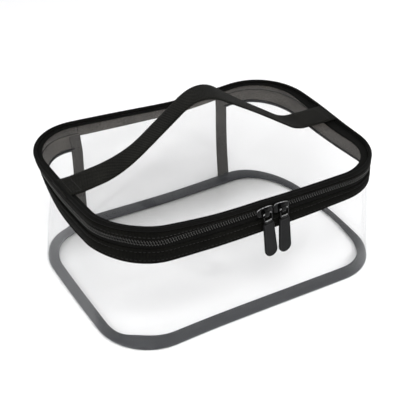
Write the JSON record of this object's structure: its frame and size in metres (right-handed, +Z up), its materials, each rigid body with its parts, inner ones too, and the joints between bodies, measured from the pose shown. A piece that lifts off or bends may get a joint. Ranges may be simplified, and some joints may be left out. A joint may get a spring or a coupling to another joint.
{
  "type": "makeup bag",
  "caption": "Clear rounded-box makeup bag with a black zip band, a back-hinged clear lid, dark seam tapes, zip sliders with coated pulls and a webbing carrying strap.",
  "frame": {"origin": "centre of the underside of the base, where the bag stands", "axes": "+Z up, -Y out of the front face with the zip sliders, +X to the right seen from the front"},
  "size_m": [0.253, 0.1818, 0.1466],
  "materials": {
    "clear_sheet": "clear soft vinyl sheet, glossy",
    "binding_tape": "charcoal woven binding tape",
    "band_cloth": "black woven cloth",
    "zip_tape": "black zip tape",
    "zip_teeth": "black coiled plastic teeth",
    "piping_cord": "plastic cord, hidden",
    "webbing": "black ribbed webbing",
    "slider_metal": "black glossy paint on cast metal",
    "pull_coat": "matte black soft coat"
  },
  "bodies": {
    "bag": {"base_panel": "clear_sheet", "front_side_wall": "clear_sheet", "back_panel": "clear_sheet", "base_seam_binding": "binding_tape", "left_seam_binding": "binding_tape", "right_seam_binding": "binding_tape", "lower_gusset": "band_cloth", "lower_zip_tape": "zip_tape", "lower_zip_coil": "zip_teeth", "hinge_strip_base": "band_cloth"},
    "lid": {"lid_panel": "clear_sheet", "lid_seam_binding": "binding_tape", "piping_core": "piping_cord", "piping_cover": "band_cloth", "upper_gusset": "band_cloth", "upper_zip_tape": "zip_tape", "upper_zip_coil": "zip_teeth", "hinge_strip_lid": "band_cloth", "strap_anchor_left": "webbing", "strap_anchor_right": "webbing"},
    "handle": {"strap_arch": "webbing", "strap_flex_left": "webbing", "strap_flex_right": "webbing"},
    "slider_left": {"slider_left": "slider_metal"},
    "slider_right": {"slider_right": "slider_metal"},
    "pull_left": {"pull_frame_left": "slider_metal", "pull_grip_left": "pull_coat"},
    "pull_right": {"pull_frame_right": "slider_metal", "pull_grip_right": "pull_coat"}
  },
  "joints": [
    {"name": "lid_hinge", "type": "hinge", "parent": "bag", "child": "lid", "pos_m": [0, 0.0895, 0.0865], "axis": [-1, 0, 0], "range_deg": [0, 180]},
    {"name": "strap_tilt", "type": "hinge", "parent": "lid", "child": "handle", "pos_m": [0, 0, 0.0962], "axis": [1, 0, 0], "range_deg": [-60, 60], "stiffness_Nm_per_rad": 0.02, "deforming": ["strap_flex_left", "strap_flex_right"]},
    {"name": "slider_left_travel", "type": "slide", "parent": "bag", "child": "slider_left", "axis": [-1, 0, 0], "range_m": [0, 0.065]},
    {"name": "slider_right_travel", "type": "slide", "parent": "bag", "child": "slider_right", "axis": [1, 0, 0], "range_m": [0, 0.052]},
    {"name": "pull_left_swing", "type": "hinge", "parent": "slider_left", "child": "pull_left", "pos_m": [0.002, -0.0909, 0.0855], "axis": [-1, 0, 0], "range_deg": [0, 165]},
    {"name": "pull_right_swing", "type": "hinge", "parent": "slider_right", "child": "pull_right", "pos_m": [0.017, -0.0909, 0.0855], "axis": [-1, 0, 0], "range_deg": [0, 165]}
  ]
}
